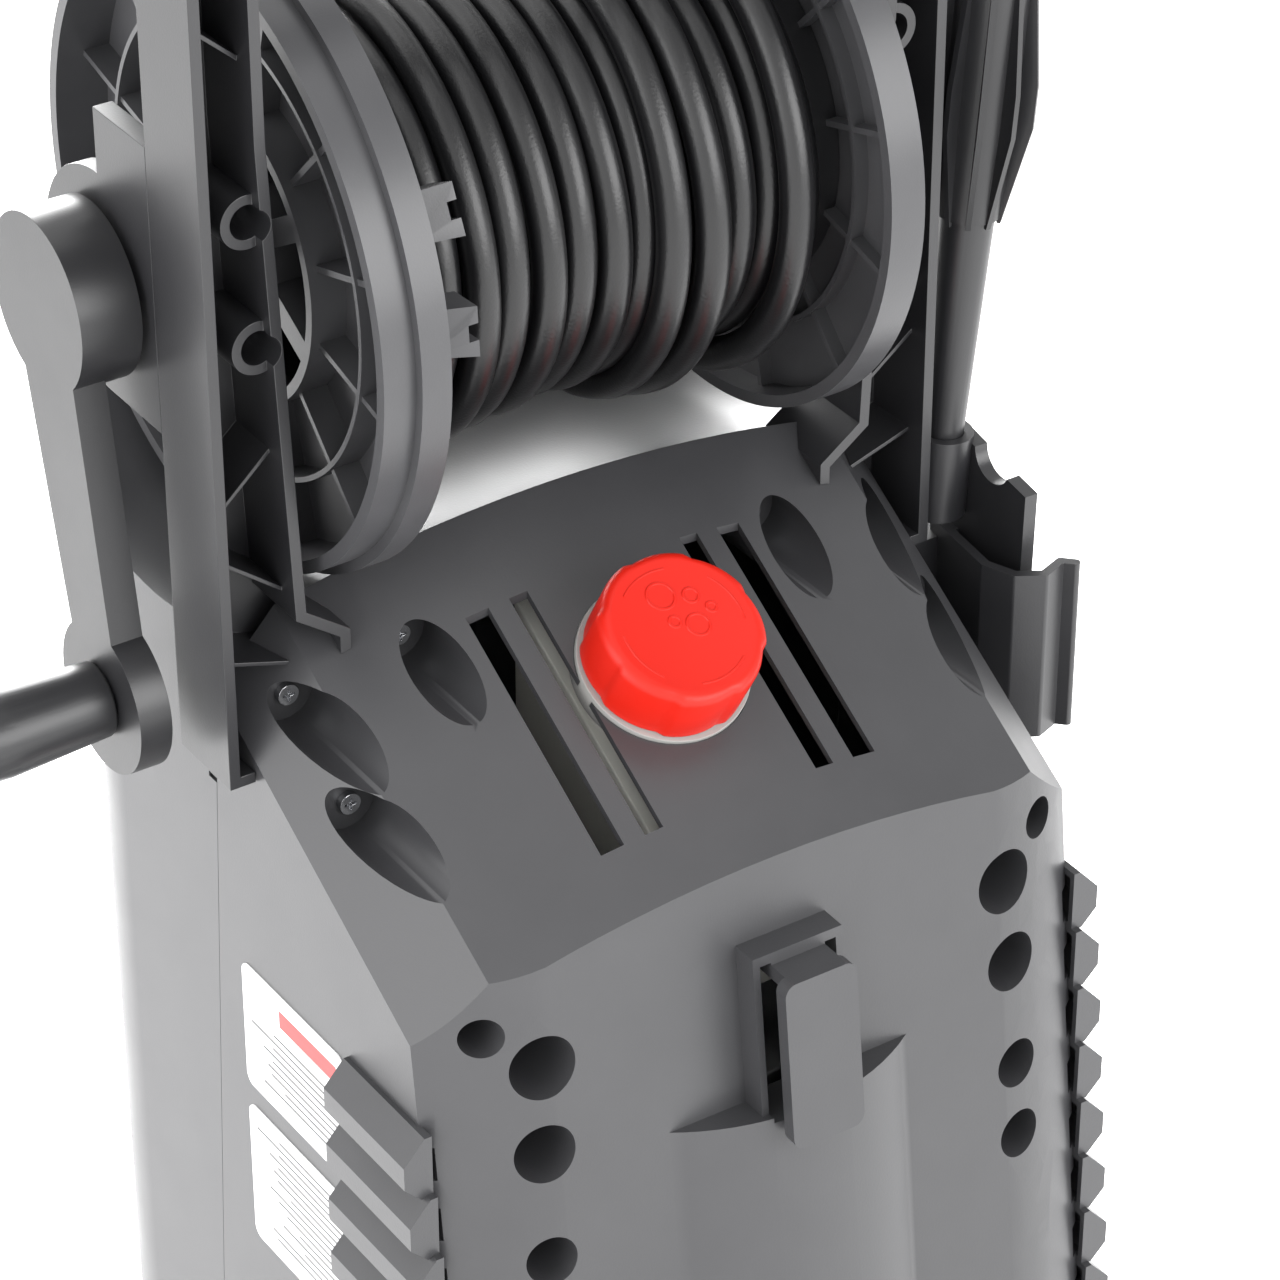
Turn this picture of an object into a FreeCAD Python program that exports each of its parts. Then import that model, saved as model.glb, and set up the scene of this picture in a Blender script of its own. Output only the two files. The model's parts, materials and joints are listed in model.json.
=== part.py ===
"""Upright electric pressure washer with a hose reel, as separate named pieces.

Millimetres, +Z up, the floor at z = 0. The operator stands at +Y and looks along -Y at the
sloping rear panel, so "left" is +X. Everything is drawn about the machine's middle plane, and is
moved at the end so that the origin is on the floor under the middle of its outer box.
"""
import FreeCAD, Part
import math
import os

os.makedirs("parts", exist_ok=True)
Vec = FreeCAD.Vector

# ---- driving dimensions: body shells ----
side_half = 147.0        # half width of the body shells
wall = 3.0               # moulded wall of the shells
crease_y = 75.0          # rear edge of the sloping panel at its corners
crease_z = 470.0
panel_slope = 0.589      # rise of the panel per mm towards the front
panel_half = 121.0       # half width of the panel between its bevelled shoulders
panel_crown = 14.0       # how far the panel arches over its width
rear_lean = 0.12         # the rear face runs outwards as it goes down
ridge_y = -55.0          # top edge of the rear cover
seam_y = -61.0           # joint between rear and front cover, at the ridge's height
seam_lean = 0.072
shell_bottom = 130.0
front_y = -215.0         # front of the machine
front_round = 70.0       # plan radius of the front corners
cradle_top = 592.0       # top of the front cover, in front of the reel
pan_bottom = 42.0
gap = 0.3                # moulding clearance between neighbours

# ---- reel, hose, crank ----
reel_y = -111.0
reel_z = 673.0
flange_r = 126.0
small_flange_r = 121.0
flange_left = 90.0       # hose side of the left flange
flange_right = -101.0    # hose side of the right flange
rim_left = 25.0          # width of the left rim
rim_right = 15.0
drum_r = 72.0
drum_wall = 3.5
hose_r = 104.0           # outside of the wound hose
axle_r = 11.0
lug_r = 94.0             # lugs on the left flange start at this radius
lug_deep = 8.0
connector_r = 9.0        # screw coupling on the hose's free end
connector_long = 44.0
connector_x = -8.0
crank_reach = 154.0
grip_r = 17.0
grip_len = 84.0
cradle_gap = 7.0         # reel rim to cradle

# ---- uprights and handle ----
upright_out = 158.0      # outer face of an upright
upright_front = -73.0
upright_rear = -36.0
upright_wall = 4.5
upright_top = 872.0
inner_top = 131.0        # inner face at the top and at the jog
inner_low = 123.0
jog_in = 105.0
jog_top = 561.0
jog_low = 548.0
boss_r = 10.5
boss_bore = 6.6
boss_spots = ((137.0, 722.0), (135.0, 672.0))
grip_z = 900.0           # centre of the handle bar
grip_half_y = 21.0
grip_half_z = 17.0

# ---- wheels, feet ----
wheel_r = 85.0
wheel_y = 72.0
tyre_wide = 34.0
hub_r = 62.0
wheel_gap = 5.0          # body side to tyre
wheel_axle_r = 6.0
running = 0.05           # radial clearance of a shaft in its bore
foot_r = 17.0
foot_x = 105.0
foot_y = -165.0

# ---- panel fittings ----
cap_y = 12.0
cap_r = 33.0
cap_h = 27.0
collar_r = 34.0
neck_r = 26.0
slot_spans = ((34.0, 42.0), (51.0, 61.0))
slot_y = (-28.0, 63.0)
bore_depth = 38.0
bores = ((79.0, -10.0, 531.0, 12.0), (125.0, -14.0, 519.0, 12.0), (125.0, 29.0, 495.0, 12.0),
         (125.0, 84.0, 444.0, 8.0), (104.0, 94.0, 427.0, 13.0), (106.0, 98.0, 391.0, 12.0),
         (107.0, 101.0, 345.0, 10.0), (107.0, 104.0, 313.0, 10.0))

# ---- cord hook ----
hook_wide = 40.0
hook_top = 447.0
hook_tall = 72.0
hook_proud = 11.0
plate_wide = 32.0
plate_thick = 6.0
plate_proud = 25.5
neck_wide = 24.0
lower_hook_z = 215.0

# ---- motor and pump ----
motor_y = 22.0
motor_r = 58.0
motor_z0 = 212.0
motor_z1 = 360.0
rotor_r = 34.0
shaft_r = 7.0
bulge_r = 100.0
bulge_half = 57.0
bulge_top = 380.0
bulge_proud = 15.0
FAR = 900.0


def poly_face(points):
    return Part.Face(Part.makePolygon([Vec(*p) for p in points] + [Vec(*points[0])]))


def along_x(points, x0, x1):
    """Prism of a (y, z) outline between two x values."""
    return poly_face([(x0, y, z) for y, z in points]).extrude(Vec(x1 - x0, 0, 0))


def along_y(points, y0, y1):
    """Prism of an (x, z) outline between two y values."""
    return poly_face([(x, y0, z) for x, z in points]).extrude(Vec(0, y1 - y0, 0))


def along_z(points, z0, z1):
    """Prism of an (x, y) outline between two z values."""
    return poly_face([(x, y, z0) for x, y in points]).extrude(Vec(0, 0, z1 - z0))


def block(x0, x1, y0, y1, z0, z1):
    return Part.makeBox(x1 - x0, y1 - y0, z1 - z0, Vec(x0, y0, z0))


def rod(x, y, z, radius, length, axis=(0, 0, 1)):
    return Part.makeCylinder(radius, length, Vec(x, y, z), Vec(*axis))


def pipe(x, y, z, outer, inner, length, axis=(0, 0, 1)):
    return rod(x, y, z, outer, length, axis).cut(rod(x, y, z, inner, length, axis))


def joined(shapes):
    whole = shapes[0]
    for shape in shapes[1:]:
        whole = whole.fuse(shape)
    return whole.removeSplitter()


def mirrored(shape):
    return shape.mirror(Vec(0, 0, 0), Vec(1, 0, 0))


def both_sides(shape):
    return [shape, mirrored(shape)]


def inset(points, step):
    """Moves every side of a counter-clockwise outline inwards by step."""
    moved = []
    count = len(points)
    for index in range(count):
        ax, ay = points[index - 1]
        bx, by = points[index]
        cx, cy = points[(index + 1) % count]
        first = math.hypot(bx - ax, by - ay)
        second = math.hypot(cx - bx, cy - by)
        n1 = (-(by - ay) / first, (bx - ax) / first)
        n2 = (-(cy - by) / second, (cx - bx) / second)
        share = step / (1 + n1[0] * n2[0] + n1[1] * n2[1])
        moved.append((bx + (n1[0] + n2[0]) * share, by + (n1[1] + n2[1]) * share))
    return moved


nodes = {}


def save(name, shape):
    """Keeps one node; a group of separate solids stays one compound."""
    solids = shape.Solids
    nodes[name] = solids[0] if len(solids) == 1 else Part.makeCompound(solids)


def write_nodes():
    """Moves the origin to the middle of the outer box's footprint and writes the files."""
    whole = Part.makeCompound(list(nodes.values())).BoundBox
    shift = Vec(-whole.Center.x, -whole.Center.y, 0)
    for name, shape in nodes.items():
        moved = shape.copy()
        moved.translate(shift)
        moved.exportStep("parts/" + name + ".step")
        print(name, len(shape.Solids), round(shape.Volume), shape.isValid())
    print("moved by", shift.x, shift.y)


# ---- the body's outer shape, and the same shape moved inwards ----
def arch_height(x):
    """Height of the panel's arch above the height of its corners."""
    radius = (panel_half ** 2 + panel_crown ** 2) / (2 * panel_crown)
    return panel_crown - radius + math.sqrt(radius ** 2 - x ** 2)


def panel_z(x, y):
    return crease_z + arch_height(x) + panel_slope * (crease_y - y)


def rear_y(z):
    """Middle of the rear face at a height."""
    return crease_y + 12.0 + rear_lean * (crease_z - z)


def seam_at(z):
    return seam_y - seam_lean * (panel_z(0, seam_y) - z)


def rear_prism(step):
    """Everything in front of the bowed, leaning rear face and between the sides."""
    edge = side_half - step
    back = crease_y - step
    shoulder = 100.0 - step
    points = [Vec(-edge, back - 9, 0), Vec(-126 + step, back + 4, 0), Vec(-shoulder, back + 11, 0),
              Vec(0, back + 12, 0), Vec(shoulder, back + 11, 0), Vec(126 - step, back + 4, 0),
              Vec(edge, back - 9, 0)]
    rise = 160.0
    points = [p + Vec(0, -rear_lean * rise, crease_z + rise) for p in points]
    front = points[0].y - FAR
    edges = [Part.Arc(points[0], points[1], points[2]).toShape(),
             Part.Arc(points[2], points[3], points[4]).toShape(),
             Part.Arc(points[4], points[5], points[6]).toShape(),
             Part.makeLine(points[6], Vec(edge, front, points[6].z)),
             Part.makeLine(Vec(edge, front, points[6].z), Vec(-edge, front, points[6].z)),
             Part.makeLine(Vec(-edge, front, points[6].z), points[0])]
    return Part.Face(Part.Wire(edges)).extrude(Vec(0, rear_lean * FAR, -FAR))


def front_prism(step, z0, z1):
    """Plan shape with large round front corners, reaching far behind the machine."""
    edge = side_half - step
    y0 = front_y + step
    corner = front_round - step
    bend = corner * (1 - math.sqrt(0.5))
    edges = [Part.makeLine(Vec(edge, FAR, z0), Vec(edge, y0 + corner, z0)),
             Part.Arc(Vec(edge, y0 + corner, z0), Vec(edge - bend, y0 + bend, z0),
                      Vec(edge - corner, y0, z0)).toShape(),
             Part.makeLine(Vec(edge - corner, y0, z0), Vec(corner - edge, y0, z0)),
             Part.Arc(Vec(corner - edge, y0, z0), Vec(bend - edge, y0 + bend, z0),
                      Vec(-edge, y0 + corner, z0)).toShape(),
             Part.makeLine(Vec(-edge, y0 + corner, z0), Vec(-edge, FAR, z0)),
             Part.makeLine(Vec(-edge, FAR, z0), Vec(edge, FAR, z0))]
    return Part.Face(Part.Wire(edges)).extrude(Vec(0, 0, z1 - z0))


def panel_prism(step):
    """Everything below the arched, sloping panel."""
    far = side_half + 10
    drop = step * math.sqrt(1 + panel_slope ** 2)
    side = arch_height(far) - drop
    start = Vec(0, crease_y, crease_z)
    points = [Vec(-far, 0, side), Vec(0, 0, panel_crown - drop), Vec(far, 0, side),
              Vec(far, 0, -2 * FAR), Vec(-far, 0, -2 * FAR)]
    points = [start + p for p in points]
    edges = [Part.Arc(points[0], points[1], points[2]).toShape(),
             Part.makeLine(points[2], points[3]), Part.makeLine(points[3], points[4]),
             Part.makeLine(points[4], points[0])]
    whole = Part.Face(Part.Wire(edges))
    whole.translate(Vec(0, 300, -300 * panel_slope))
    return whole.extrude(Vec(0, -FAR, FAR * panel_slope))


def shoulder_cut(step):
    """Block outside the bevelled shoulder of the left side."""
    normal = Vec(0.722, 0.354, 0.591).normalize()
    corner = Vec(panel_half, crease_y, crease_z) - normal * step
    sheet = Part.makePlane(FAR, FAR, Vec(-FAR / 2, -FAR / 2, 0))
    sheet.Placement = FreeCAD.Placement(corner, FreeCAD.Rotation(Vec(0, 0, 1), normal))
    return sheet.extrude(normal * FAR)


def bulge(step):
    """Rounded column over the motor on the rear face, with a flat top."""
    radius = bulge_r - step
    y_mid = rear_y(bulge_top) + bulge_proud - bulge_r
    foot = rod(0, y_mid + rear_lean * FAR / 2, bulge_top - step - FAR / 2, radius, FAR / 2,
               (0, -rear_lean, 1))
    return foot.common(block(-bulge_half + step, bulge_half - step, y_mid, FAR, 0, bulge_top - step))


def rear_outer(step):
    low = -1 if step else 0
    shape = rear_prism(step).common(front_prism(step, shell_bottom + low, FAR)).common(panel_prism(step))
    for cut in both_sides(shoulder_cut(step)):
        shape = shape.cut(cut)
    return shape.fuse(bulge(step).common(block(-FAR, FAR, 0, FAR, shell_bottom + low, FAR)))


def rear_half():
    """Space behind the seam plane."""
    high = panel_z(0, seam_y) + 60
    return along_x([(seam_at(0), 0), (FAR, 0), (FAR, high), (seam_at(high), high)], -FAR, FAR)


def front_half():
    high = panel_z(0, seam_y) + 160
    return along_x([(-FAR, 0), (seam_at(0) - gap, 0), (seam_at(high) - gap, high), (-FAR, high)],
                   -FAR, FAR)


# ---- rear cover ----
def screw_bores():
    """Deep blind bores that lead to the cover screws: bosses, bores and screw holes."""
    bosses, holes = [], []
    for x, y, z, radius in bores:
        floor = y - bore_depth
        bosses += both_sides(rod(x, floor - wall, z, radius + 2.2, bore_depth + 40, (0, 1, 0)))
        holes += both_sides(rod(x, floor, z, radius, bore_depth + 60, (0, 1, 0)))
        holes += both_sides(rod(x, floor - 2 * wall, z, 2.6, 3 * wall, (0, 1, 0)))
    return bosses, holes


def panel_slots():
    return [cut for x0, x1 in slot_spans
            for cut in both_sides(block(x0, x1, slot_y[0], slot_y[1], crease_z - 40, FAR))]


def cap_normal():
    return Vec(0, panel_slope, 1).normalize()


def on_cap_axis(height):
    """Point on the filler's axis, a distance above the panel."""
    return Vec(0, cap_y, panel_z(0, cap_y)) + cap_normal() * height


def cap_rod(height, radius, length):
    return Part.makeCylinder(radius, length, on_cap_axis(height), cap_normal())


louvre_count = 9
louvre_pitch = 26.0
louvre_top = 403.0
louvre_y0 = 24.0


def louvre_hood(z):
    """One hood on the left side: it starts high at the wall and hangs over its slot."""
    outline = [(side_half - 1, z - 22), (side_half + 4, z - 22), (side_half + 11, z - 15),
               (side_half + 11, z - 5), (side_half + 2, z + 5), (side_half - 1, z + 5)]
    y1 = rear_y(z) - 14
    hollow = [(side_half - 2, z - 19), (side_half + 3, z - 19), (side_half + 8.6, z - 13.6),
              (side_half + 8.6, z - 6), (side_half + 1.5, z + 2), (side_half - 2, z + 2)]
    return along_y(outline, louvre_y0, y1).cut(along_y(hollow, louvre_y0 + 2.4, y1 - 2.4))


def louvre_slot(z):
    return block(side_half - wall - 1, side_half + 0.5, louvre_y0 + 2.4, rear_y(z) - 14, z - 18, z - 4)


def hook_frame():
    """Raised frame on the rear face, its through opening, the neck and the hanging plate."""
    low = hook_top - hook_tall

    def slab(z0, z1, half, inner, outer):
        outline = [(rear_y(z0) + inner, z0), (rear_y(z0) + outer, z0),
                   (rear_y(z1) + outer, z1), (rear_y(z1) + inner, z1)]
        return along_x(outline, -half, half)
    frame = slab(low, hook_top, hook_wide / 2, -6, hook_proud)
    opening = slab(low + 3, hook_top - 4, hook_wide / 2 - 3, -20, plate_proud + 20)
    plate = slab(low - 3, hook_top - 5, plate_wide / 2, plate_proud - plate_thick, plate_proud)
    neck = slab(hook_top - 11, hook_top - 5, neck_wide / 2, hook_proud - 6, plate_proud - 1)
    bridge = slab(hook_top - 11, hook_top - 2, neck_wide / 2, -6, hook_proud)
    corners = [e for e in plate.Edges if abs(e.Vertexes[0].Y - e.Vertexes[-1].Y) > plate_thick - 1
               and abs(e.Vertexes[0].Z - e.Vertexes[-1].Z) < 1]
    return frame, opening, plate.makeFillet(5.0, corners).fuse([neck, bridge])


def rear_cover():
    shell = rear_outer(0).cut(rear_outer(wall)).common(rear_half())
    bosses, holes = screw_bores()
    limit = rear_outer(0).common(rear_half())
    frame, opening, plate = hook_frame()
    shell = joined([shell] + [boss.common(limit) for boss in bosses] + [frame])
    hoods = []
    slots = []
    for n in range(louvre_count):
        hoods += both_sides(louvre_hood(louvre_top - n * louvre_pitch))
        slots += both_sides(louvre_slot(louvre_top - n * louvre_pitch))
    shell = shell.cut(holes + panel_slots() + slots + [opening, cap_rod(-20, collar_r + gap, 40)])
    return joined([shell, plate] + hoods)


# ---- front cover and base ----
def foot_outline():
    """Outline of an upright in (x, z), counter-clockwise from the outer lower corner."""
    return [(upright_out, 496.0), (upright_out, upright_top), (inner_top, upright_top),
            (inner_top, boss_spots[0][1] + 30), (inner_low, jog_top), (jog_in, jog_low), (jog_in, 496.0)]


def front_block(step):
    profile = [(FAR, shell_bottom - (1 if step else 0)), (FAR, cradle_top - step),
               (-FAR, cradle_top - step), (-FAR, shell_bottom - (1 if step else 0))]
    shape = front_prism(step, 0, FAR).common(along_x(profile[::-1], -side_half + step, side_half - step))
    cradle = rod(-FAR, reel_y, reel_z, flange_r + cradle_gap + step, 2 * FAR, (1, 0, 0))
    back_top = along_x([(ridge_y - 60, panel_z(0, seam_y) - 8 - step), (FAR, panel_z(0, seam_y) - 8 - step),
                        (FAR, FAR), (ridge_y - 60, FAR)], -FAR, FAR)
    seat = [upright_seat(step), mirrored(upright_seat(step))]
    return shape.cut([cradle, back_top] + seat)


foot_low = 478.0         # lowest point of the seat of an upright's foot
foot_bend = 509.0
foot_high = 530.0


def upright_seat(step):
    """Room for an upright's foot in the shoulder of the front cover."""
    reach = gap + step
    outline = [(side_half + 50, foot_low - reach), (side_half + 50, FAR), (jog_in - reach, FAR),
               (jog_in - reach, foot_high - reach), (side_half - 1 - reach, foot_bend - reach),
               (side_half - 1 - reach, foot_low - reach)]
    return along_y(outline, upright_front - reach, FAR)


def front_cover():
    shell = front_block(0).cut(front_block(wall)).common(front_half())
    knob_hole = rod(0, front_y - 5, switch_z, knob_stem_r + 1, 20, (0, 1, 0))
    fittings = [rod(x, front_y - 5, z, r, 20, (0, 1, 0)) for x, z, r in fitting_holes]
    pipe_hole = rod(-side_half - 5, reel_y, feed_z, feed_r + 1, 12, (1, 0, 0))
    return shell.cut([knob_hole, pipe_hole] + fittings)


def base_pan():
    """Open pan that carries motor, pump, axle and feet."""
    outer = rear_prism(0).common(front_prism(0, pan_bottom, shell_bottom))
    inner = rear_prism(4).common(front_prism(4, pan_bottom + 4, shell_bottom + 1))
    pan = outer.cut(inner)
    tube = rod(-side_half + 1, wheel_y, wheel_r, wheel_axle_r + 6, 2 * side_half - 2, (1, 0, 0))
    ribs = [block(x - 2, x + 2, wheel_y - 9, wheel_y + 9, pan_bottom + 2, wheel_r) 
            for x in (-110, -55, 0, 55, 110)]
    posts = [rod(x, foot_y, pan_bottom + 2, 12, 14) for x in (-foot_x, foot_x)]
    stands = [rod(x, motor_y + y, pan_bottom + 2, 9, stand_top - pan_bottom - 2)
              for x in (-48, 48) for y in (-36, 36)]
    pan = joined([pan, tube] + ribs + posts + stands)
    bores_ = [rod(-FAR, wheel_y, wheel_r, wheel_axle_r + running, 2 * FAR, (1, 0, 0))]
    bores_ += [rod(x, foot_y, pan_bottom - 1, foot_stud_r, 14) for x in (-foot_x, foot_x)]
    return pan.cut(bores_)


stand_top = 78.0
foot_stud_r = 5.0
switch_z = 440.0
knob_stem_r = 7.0
fitting_holes = ((-62.0, 250.0, 15.0), (62.0, 250.0, 15.0), (0.0, 160.0, 11.0))


def feet():
    pads = []
    for x in (-foot_x, foot_x):
        pad = Part.makeCone(foot_r - 3, foot_r, pan_bottom, Vec(x, foot_y, 0))
        pads.append(pad.fuse(rod(x, foot_y, pan_bottom - 1, foot_stud_r, 12)))
    return Part.makeCompound(pads)


# ---- uprights ----
def upright():
    """Left upright: a channel open to the rear with screw bosses, ribs and a stepped foot."""
    outline = foot_outline()
    solid = along_y(outline, upright_front, upright_rear)
    pocket = along_y(inset(outline, upright_wall), upright_front + upright_wall, upright_rear + 1)
    channel = solid.cut(pocket)
    bosses = [rod(x, upright_front + 1, z, boss_r, upright_rear - upright_front - 6, (0, 1, 0))
              for x, z in boss_spots]
    bosses = [boss.common(solid) for boss in bosses]
    inner, outer = inner_low - 4, upright_out - 2
    zigzag = ((inner_top + 2, 843, outer, 823), (outer, 800, inner_top + 2, 780),
              (inner + 8, 630, outer, 604),
              (outer, 590, inner + 6, 566), (jog_in + 3, 530, outer, 545))
    ribs = [rib(*spots) for spots in zigzag]
    channel = joined([channel] + bosses + [one.common(solid) for one in ribs])
    below = rear_outer(-gap).common(rear_half())
    low_block = along_y([(jog_in, 400), (side_half + gap, 400), (side_half + gap, foot_low),
                         (side_half + gap - 1, foot_bend), (jog_in, foot_high)], -FAR, upright_rear + 60)
    holes = [rod(x, upright_front + upright_wall, z, boss_bore, 60, (0, 1, 0))
              for x, z in boss_spots]
    holes += [rod(x, upright_front - 1, z, 2.6, 60, (0, 1, 0))
              for x, z in boss_spots]
    axle_hole = rod(0, reel_y, reel_z, axle_r + 2, FAR, (1, 0, 0))
    return channel.cut([below, low_block, axle_hole] + holes)


def rib(x0, z0, x1, z1):
    """Thin stiffening rib across the channel."""
    length = math.hypot(x1 - x0, z1 - z0)
    nx, nz = -(z1 - z0) / length * 0.8, (x1 - x0) / length * 0.8
    outline = [(x0 - nx, z0 - nz), (x1 - nx, z1 - nz), (x1 + nx, z1 + nz), (x0 + nx, z0 + nz)]
    return along_y(outline, upright_front + 1, upright_rear - 9)


bracket_in = 150.0
bracket_wide = 62.0


def reel_bracket():
    """Left cheek that carries the reel's axle in front of the upright."""
    plate = joined([rod(bracket_in, reel_y, reel_z, 44, upright_out - bracket_in, (1, 0, 0)),
                    block(bracket_in, upright_out, reel_y, upright_front - gap, reel_z - 44, reel_z + 70),
                    block(inner_top + 3, upright_out, upright_front - gap - 5, upright_front - gap,
                          reel_z - 44, reel_z + 70)])
    boss = rod(bracket_in - 12, reel_y, reel_z, axle_r + 6, upright_out - bracket_in + 12, (1, 0, 0))
    plate = plate.fuse(boss).common(block(0, FAR, -FAR, upright_front - gap, 0, FAR))
    holes = [rod(x, upright_front - 20, z, 2.6, 40, (0, 1, 0))
              for x, z in boss_spots]
    return plate.cut([rod(0, reel_y, reel_z, axle_r + running, FAR, (1, 0, 0))] + holes)


def handle_shell(front):
    """Half of the hollow handle bar; its ends rest on the uprights."""
    ellipse = Part.Ellipse(Vec(0, 0, 0), grip_half_y, grip_half_z).toShape()
    hollow = Part.Ellipse(Vec(0, 0, 0), grip_half_y - wall, grip_half_z - wall).toShape()
    turn = FreeCAD.Rotation(Vec(0, 1, 0), Vec(0, 0, 1), Vec(1, 0, 0), "XYZ")
    solids = []
    for ring, end in ((ellipse, upright_out), (hollow, upright_out - wall)):
        face = Part.Face(Part.Wire([ring]))
        face.Placement = FreeCAD.Placement(Vec(-end, upright_mid_y, grip_z), turn)
        solids.append(face.extrude(Vec(2 * end, 0, 0)))
    ends = [block(x0, x1, upright_front, upright_rear, upright_top + gap, grip_z)
            for x0, x1 in ((inner_top, upright_out), (-upright_out, -inner_top))]
    whole = joined([solids[0]] + ends).cut(solids[1])
    if front:
        half = block(-FAR, FAR, -FAR, upright_mid_y - gap / 2, 0, 2 * FAR)
    else:
        half = block(-FAR, FAR, upright_mid_y + gap / 2, FAR, 0, 2 * FAR)
    return whole.common(half)


upright_mid_y = (upright_front + upright_rear) / 2


# ---- reel ----
web_thick = 3.0


def reel_disc(x0, wide, radius, toward):
    """Flange with a deep rim, a ring rib, spokes and an open middle; toward is +1 or -1 along X."""
    def ring(outer, inner, start, depth):
        return pipe(x0 + toward * start, reel_y, reel_z, outer, inner, depth, (toward, 0, 0))
    web = ring(radius, drum_r - 14, 0, web_thick)
    rim = ring(radius, radius - 5, 0, wide)
    rib_ring = ring(drum_r + 18, drum_r + 16, 0, wide * 0.6)
    inner_rim = ring(drum_r - 12, drum_r - 16, 0, wide * 0.7)
    hub = ring(24, axle_r - 1, 0, wide * 0.8)
    spokes = []
    for n in range(12):
        spoke = block(0, wide * 0.55, drum_r - 14, radius - 3, -1.2, 1.2)
        spoke.rotate(Vec(0, 0, 0), Vec(1, 0, 0), n * 30 + 15)
        spokes.append(spoke)
    for n in range(6):
        arm = block(0, wide * 0.5, 20, drum_r - 13, -5, 5)
        arm.rotate(Vec(0, 0, 0), Vec(1, 0, 0), n * 60 + 30)
        spokes.append(arm)
    for spoke in spokes:
        spoke.translate(Vec(x0 if toward > 0 else x0 - spoke.BoundBox.XMax, reel_y, reel_z))
    return joined([web, rim, rib_ring, inner_rim, hub] + spokes).cut(
        rod(-FAR, reel_y, reel_z, axle_r, 2 * FAR, (1, 0, 0)))


def left_flange():
    disc = reel_disc(flange_left, rim_left, flange_r, 1)
    lugs = []
    for angle in (4, 26, 184, 206):
        lug = block(-lug_deep, 0.5, lug_r, lug_r + 14, -9, 9)
        lug = lug.cut(block(-9, -4, lug_r - 2, lug_r + 18, -3, 3))
        lug.rotate(Vec(0, 0, 0), Vec(1, 0, 0), angle)
        lug.translate(Vec(flange_left, reel_y, reel_z))
        lugs.append(lug)
    step = pipe(flange_left + rim_left * 0.48, reel_y, reel_z, flange_r + 1, flange_r - 5, rim_left,
                (1, 0, 0))
    inner_band = pipe(flange_left, reel_y, reel_z, flange_r - 4, flange_r - 9, rim_left, (1, 0, 0))
    return joined([disc.cut(step), inner_band] + lugs)


drum_start = flange_right - rim_right + web_thick


def right_flange():
    """Its ribs face the hose, and the drum ends in a groove between them."""
    disc = reel_disc(flange_right - rim_right, rim_right, small_flange_r, 1)
    return disc.cut(pipe(drum_start, reel_y, reel_z, drum_r, drum_r - drum_wall, rim_right, (1, 0, 0)))


def reel_pieces():
    span = flange_left - flange_right
    drum = pipe(drum_start, reel_y, reel_z, drum_r, drum_r - drum_wall, flange_left - drum_start, (1, 0, 0))
    axle_end = crank_x + 20
    axle = rod(-swivel_x, reel_y, reel_z, axle_r, swivel_x + axle_end, (1, 0, 0))
    coil = pipe(flange_right + 1, reel_y, reel_z, lug_r - 2, drum_r + 0.05, span - 2, (1, 0, 0))
    coil = coil.fuse(pipe(flange_right + 1, reel_y, reel_z, hose_r, drum_r + 0.05,
                          span - lug_deep - 2.5, (1, 0, 0)))
    at_x, at_y = connector_x, reel_y - hose_r + connector_r + 0.5
    bay = block(at_x - connector_r - 1, at_x + connector_r + 1, reel_y - flange_r, at_y + connector_r + 1,
                reel_z - connector_long / 2 - 2, reel_z + connector_long / 2 + 2)
    low = reel_z - connector_long / 2
    connector = joined([rod(at_x, at_y, low, connector_r, connector_long * 0.55),
                        rod(at_x, at_y, low, connector_r - 2.5, connector_long)])
    return drum, axle, coil.cut(bay), connector.cut(rod(at_x, at_y, low - 1, 3.0, connector_long - 8))


# ---- crank ----
crank_x = upright_out + 3.0
crank_thick = 13.0
crank_tilt = -79.0       # direction of the arm, from straight back, turning upwards


def crank_point(reach):
    angle = math.radians(crank_tilt)
    return reel_y + reach * math.cos(angle), reel_z + reach * math.sin(angle)


def crank_arm():
    end_y, end_z = crank_point(crank_reach)
    hub = rod(crank_x, reel_y, reel_z, 34, 24, (1, 0, 0))
    tip = rod(crank_x + 11, end_y, end_z, crank_end_r, crank_thick, (1, 0, 0))
    arm = along_x([(0, -crank_root_half), (crank_reach, -crank_tip_half), (crank_reach, crank_tip_half),
                   (0, crank_root_half)],
                  crank_x + 11, crank_x + 11 + crank_thick)
    arm.rotate(Vec(0, 0, 0), Vec(1, 0, 0), crank_tilt)
    arm.translate(Vec(0, reel_y, reel_z))
    whole = joined([hub, tip, arm])
    return whole.cut([rod(crank_x - 1, reel_y, reel_z, axle_r, 21, (1, 0, 0)),
                      rod(crank_x, end_y, end_z, grip_pin_r, 40, (1, 0, 0))])


grip_pin_r = 5.0
crank_end_r = 30.0
crank_root_half = 20.0
crank_tip_half = 15.0


def crank_grip_pieces():
    end_y, end_z = crank_point(crank_reach)
    start = crank_x + 11 + crank_thick
    pin = rod(crank_x + 11, end_y, end_z, grip_pin_r, crank_thick + grip_len + 2, (1, 0, 0))
    head = rod(start + grip_len + 2, end_y, end_z, 9, 3, (1, 0, 0))
    grip = Part.makeCone(grip_r - 2.5, grip_r, grip_len * 0.5, Vec(start + 0.8, end_y, end_z), Vec(1, 0, 0))
    grip = grip.fuse(Part.makeCone(grip_r, grip_r - 2, grip_len * 0.5,
                                   Vec(start + 0.8 + grip_len * 0.5, end_y, end_z), Vec(1, 0, 0)))
    grip = grip.cut(rod(start - 1, end_y, end_z, grip_pin_r + running, grip_len + 5, (1, 0, 0)))
    return pin.fuse(head), grip


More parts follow.
